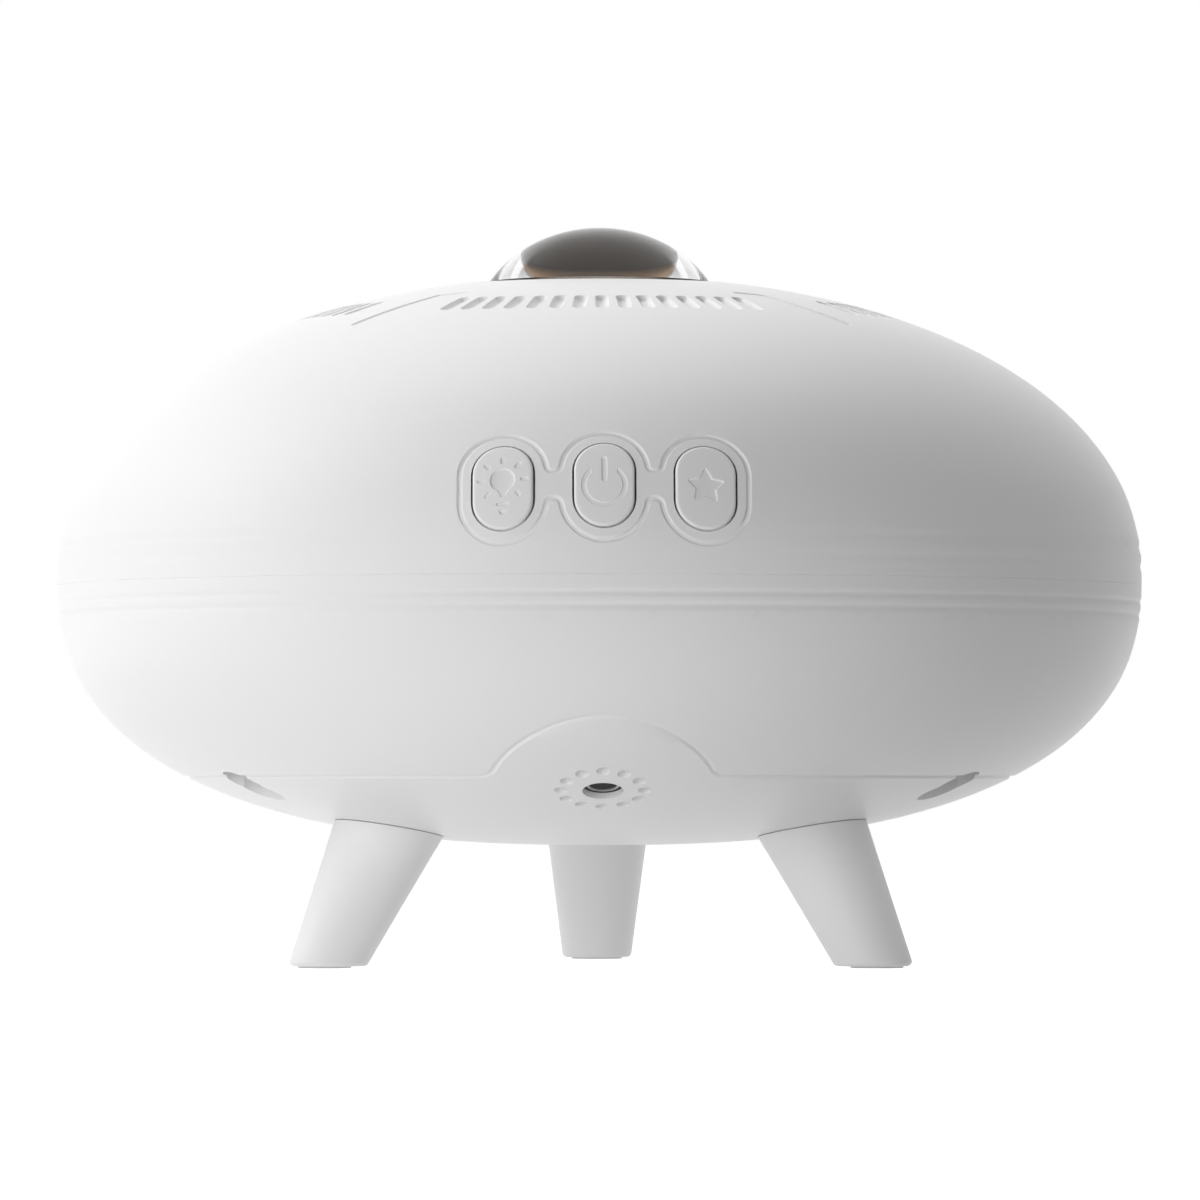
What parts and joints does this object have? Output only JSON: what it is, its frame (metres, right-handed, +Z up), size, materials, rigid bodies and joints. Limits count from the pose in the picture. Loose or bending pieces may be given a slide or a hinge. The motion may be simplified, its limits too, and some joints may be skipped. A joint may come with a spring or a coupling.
{
  "type": "star night light projector",
  "caption": "Flattened round night light projector on splayed tapered legs, with a clear dome lens on top, push buttons at the front and a power inlet at the rear.",
  "frame": {"origin": "centre of the bounding box's bottom, on the floor under the lens axis", "axes": "+Z up along the lens axis, -Y towards the side with the buttons, +X to the right seen from the buttons"},
  "size_m": [0.2, 0.2, 0.1361],
  "materials": {
    "case_white": "satin moulded ABS",
    "leg_white": "satin moulded ABS",
    "button_white": "satin moulded ABS",
    "lens_clear": "polished clear acrylic",
    "optic_clear": "moulded clear acrylic",
    "grating_clear": "clear embossed film",
    "gasket_brown": "brown adhesive foam",
    "barrel_black": "matt black ABS",
    "pad_rubber": "soft translucent silicone",
    "boot_rubber": "black silicone",
    "steel": "zinc plated",
    "switch_steel": "stamped steel",
    "pin_nickel": "nickel plated",
    "motor_steel": "rolled steel can",
    "gearbox_brass": "stamped brass",
    "laser_brass": "turned brass",
    "sink_aluminium": "extruded",
    "mic_aluminium": "drawn can with dark felt",
    "led_board_white": "white solder mask on aluminium",
    "emitter_yellow": "phosphor package",
    "plunger_black": "moulded",
    "jack_black": "moulded",
    "chip_black": "epoxy",
    "capacitor_sleeve": "shrink sleeve",
    "plug_cream": "nylon",
    "board_green": "solder mask on glass laminate",
    "chassis_grey": "moulded ABS",
    "washer_white": "nylon",
    "pinion_acetal": "acetal",
    "lead_white": "PVC insulation",
    "lead_black": "PVC insulation",
    "lead_red": "PVC insulation"
  },
  "bodies": {
    "housing": {"upper_case": "case_white", "lower_case": "case_white", "leg_front_left": "leg_white", "leg_front_right": "leg_white", "leg_rear": "leg_white", "foot_pads": "pad_rubber", "leg_screws": "steel", "case_screws": "steel", "projection_lens": "lens_clear", "lens_gasket": "gasket_brown", "optics_barrel": "barrel_black", "barrel_screws": "steel", "ripple_plate": "optic_clear", "tact_switches": "switch_steel", "button_board": "board_green", "button_board_screws": "steel", "microphone": "mic_aluminium", "microphone_boot": "boot_rubber", "dc_jack": "jack_black", "jack_pin": "pin_nickel", "jack_nut": "steel", "chassis_plate": "chassis_grey", "chassis_screws": "steel", "heat_sink": "sink_aluminium", "heat_sink_screws": "steel", "led_board": "led_board_white", "led_emitters": "emitter_yellow", "collimator": "optic_clear", "laser_module": "laser_brass", "laser_collar": "barrel_black", "star_grating": "grating_clear", "wheel_axle": "steel", "wheel_washer": "washer_white", "wheel_clip": "steel", "gearbox": "gearbox_brass", "motor": "motor_steel", "motor_clamp": "chassis_grey", "clamp_screws": "steel", "main_board": "board_green", "main_board_screws": "steel", "chips": "chip_black", "capacitors": "capacitor_sleeve", "board_plugs": "plug_cream", "button_lead": "lead_white", "microphone_lead": "lead_black", "light_lead": "lead_red", "laser_lead": "lead_black", "power_lead": "lead_black", "motor_lead": "lead_red"},
    "light_button": {"button_light": "button_white", "plunger_light": "plunger_black"},
    "power_button": {"button_power": "button_white", "plunger_power": "plunger_black"},
    "star_button": {"button_star": "button_white", "plunger_star": "plunger_black"},
    "wheel": {"effect_wheel": "optic_clear"},
    "pinion": {"drive_pinion": "pinion_acetal", "motor_shaft": "steel"}
  },
  "joints": [
    {"name": "light_button_press", "type": "slide", "parent": "housing", "child": "light_button", "axis": [0, 0.9314, -0.3641], "range_m": [0, 0.0006], "stiffness_N_per_m": 2000},
    {"name": "power_button_press", "type": "slide", "parent": "housing", "child": "power_button", "axis": [0, 0.9314, -0.3641], "range_m": [0, 0.0006], "stiffness_N_per_m": 2000},
    {"name": "star_button_press", "type": "slide", "parent": "housing", "child": "star_button", "axis": [0, 0.9314, -0.3641], "range_m": [0, 0.0006], "stiffness_N_per_m": 2000},
    {"name": "wheel_spin", "type": "hinge", "parent": "housing", "child": "wheel", "pos_m": [0.026, 0, 0.0737], "axis": [0, 0, 1], "continuous": true},
    {"name": "pinion_spin", "type": "hinge", "parent": "housing", "child": "pinion", "pos_m": [0.01229, 0.03768, 0.0737], "axis": [0, 0, 1], "continuous": true}
  ],
  "couplings": [
    {"joint": "pinion_spin", "follows": "wheel_spin", "ratio": -5.6667}
  ]
}
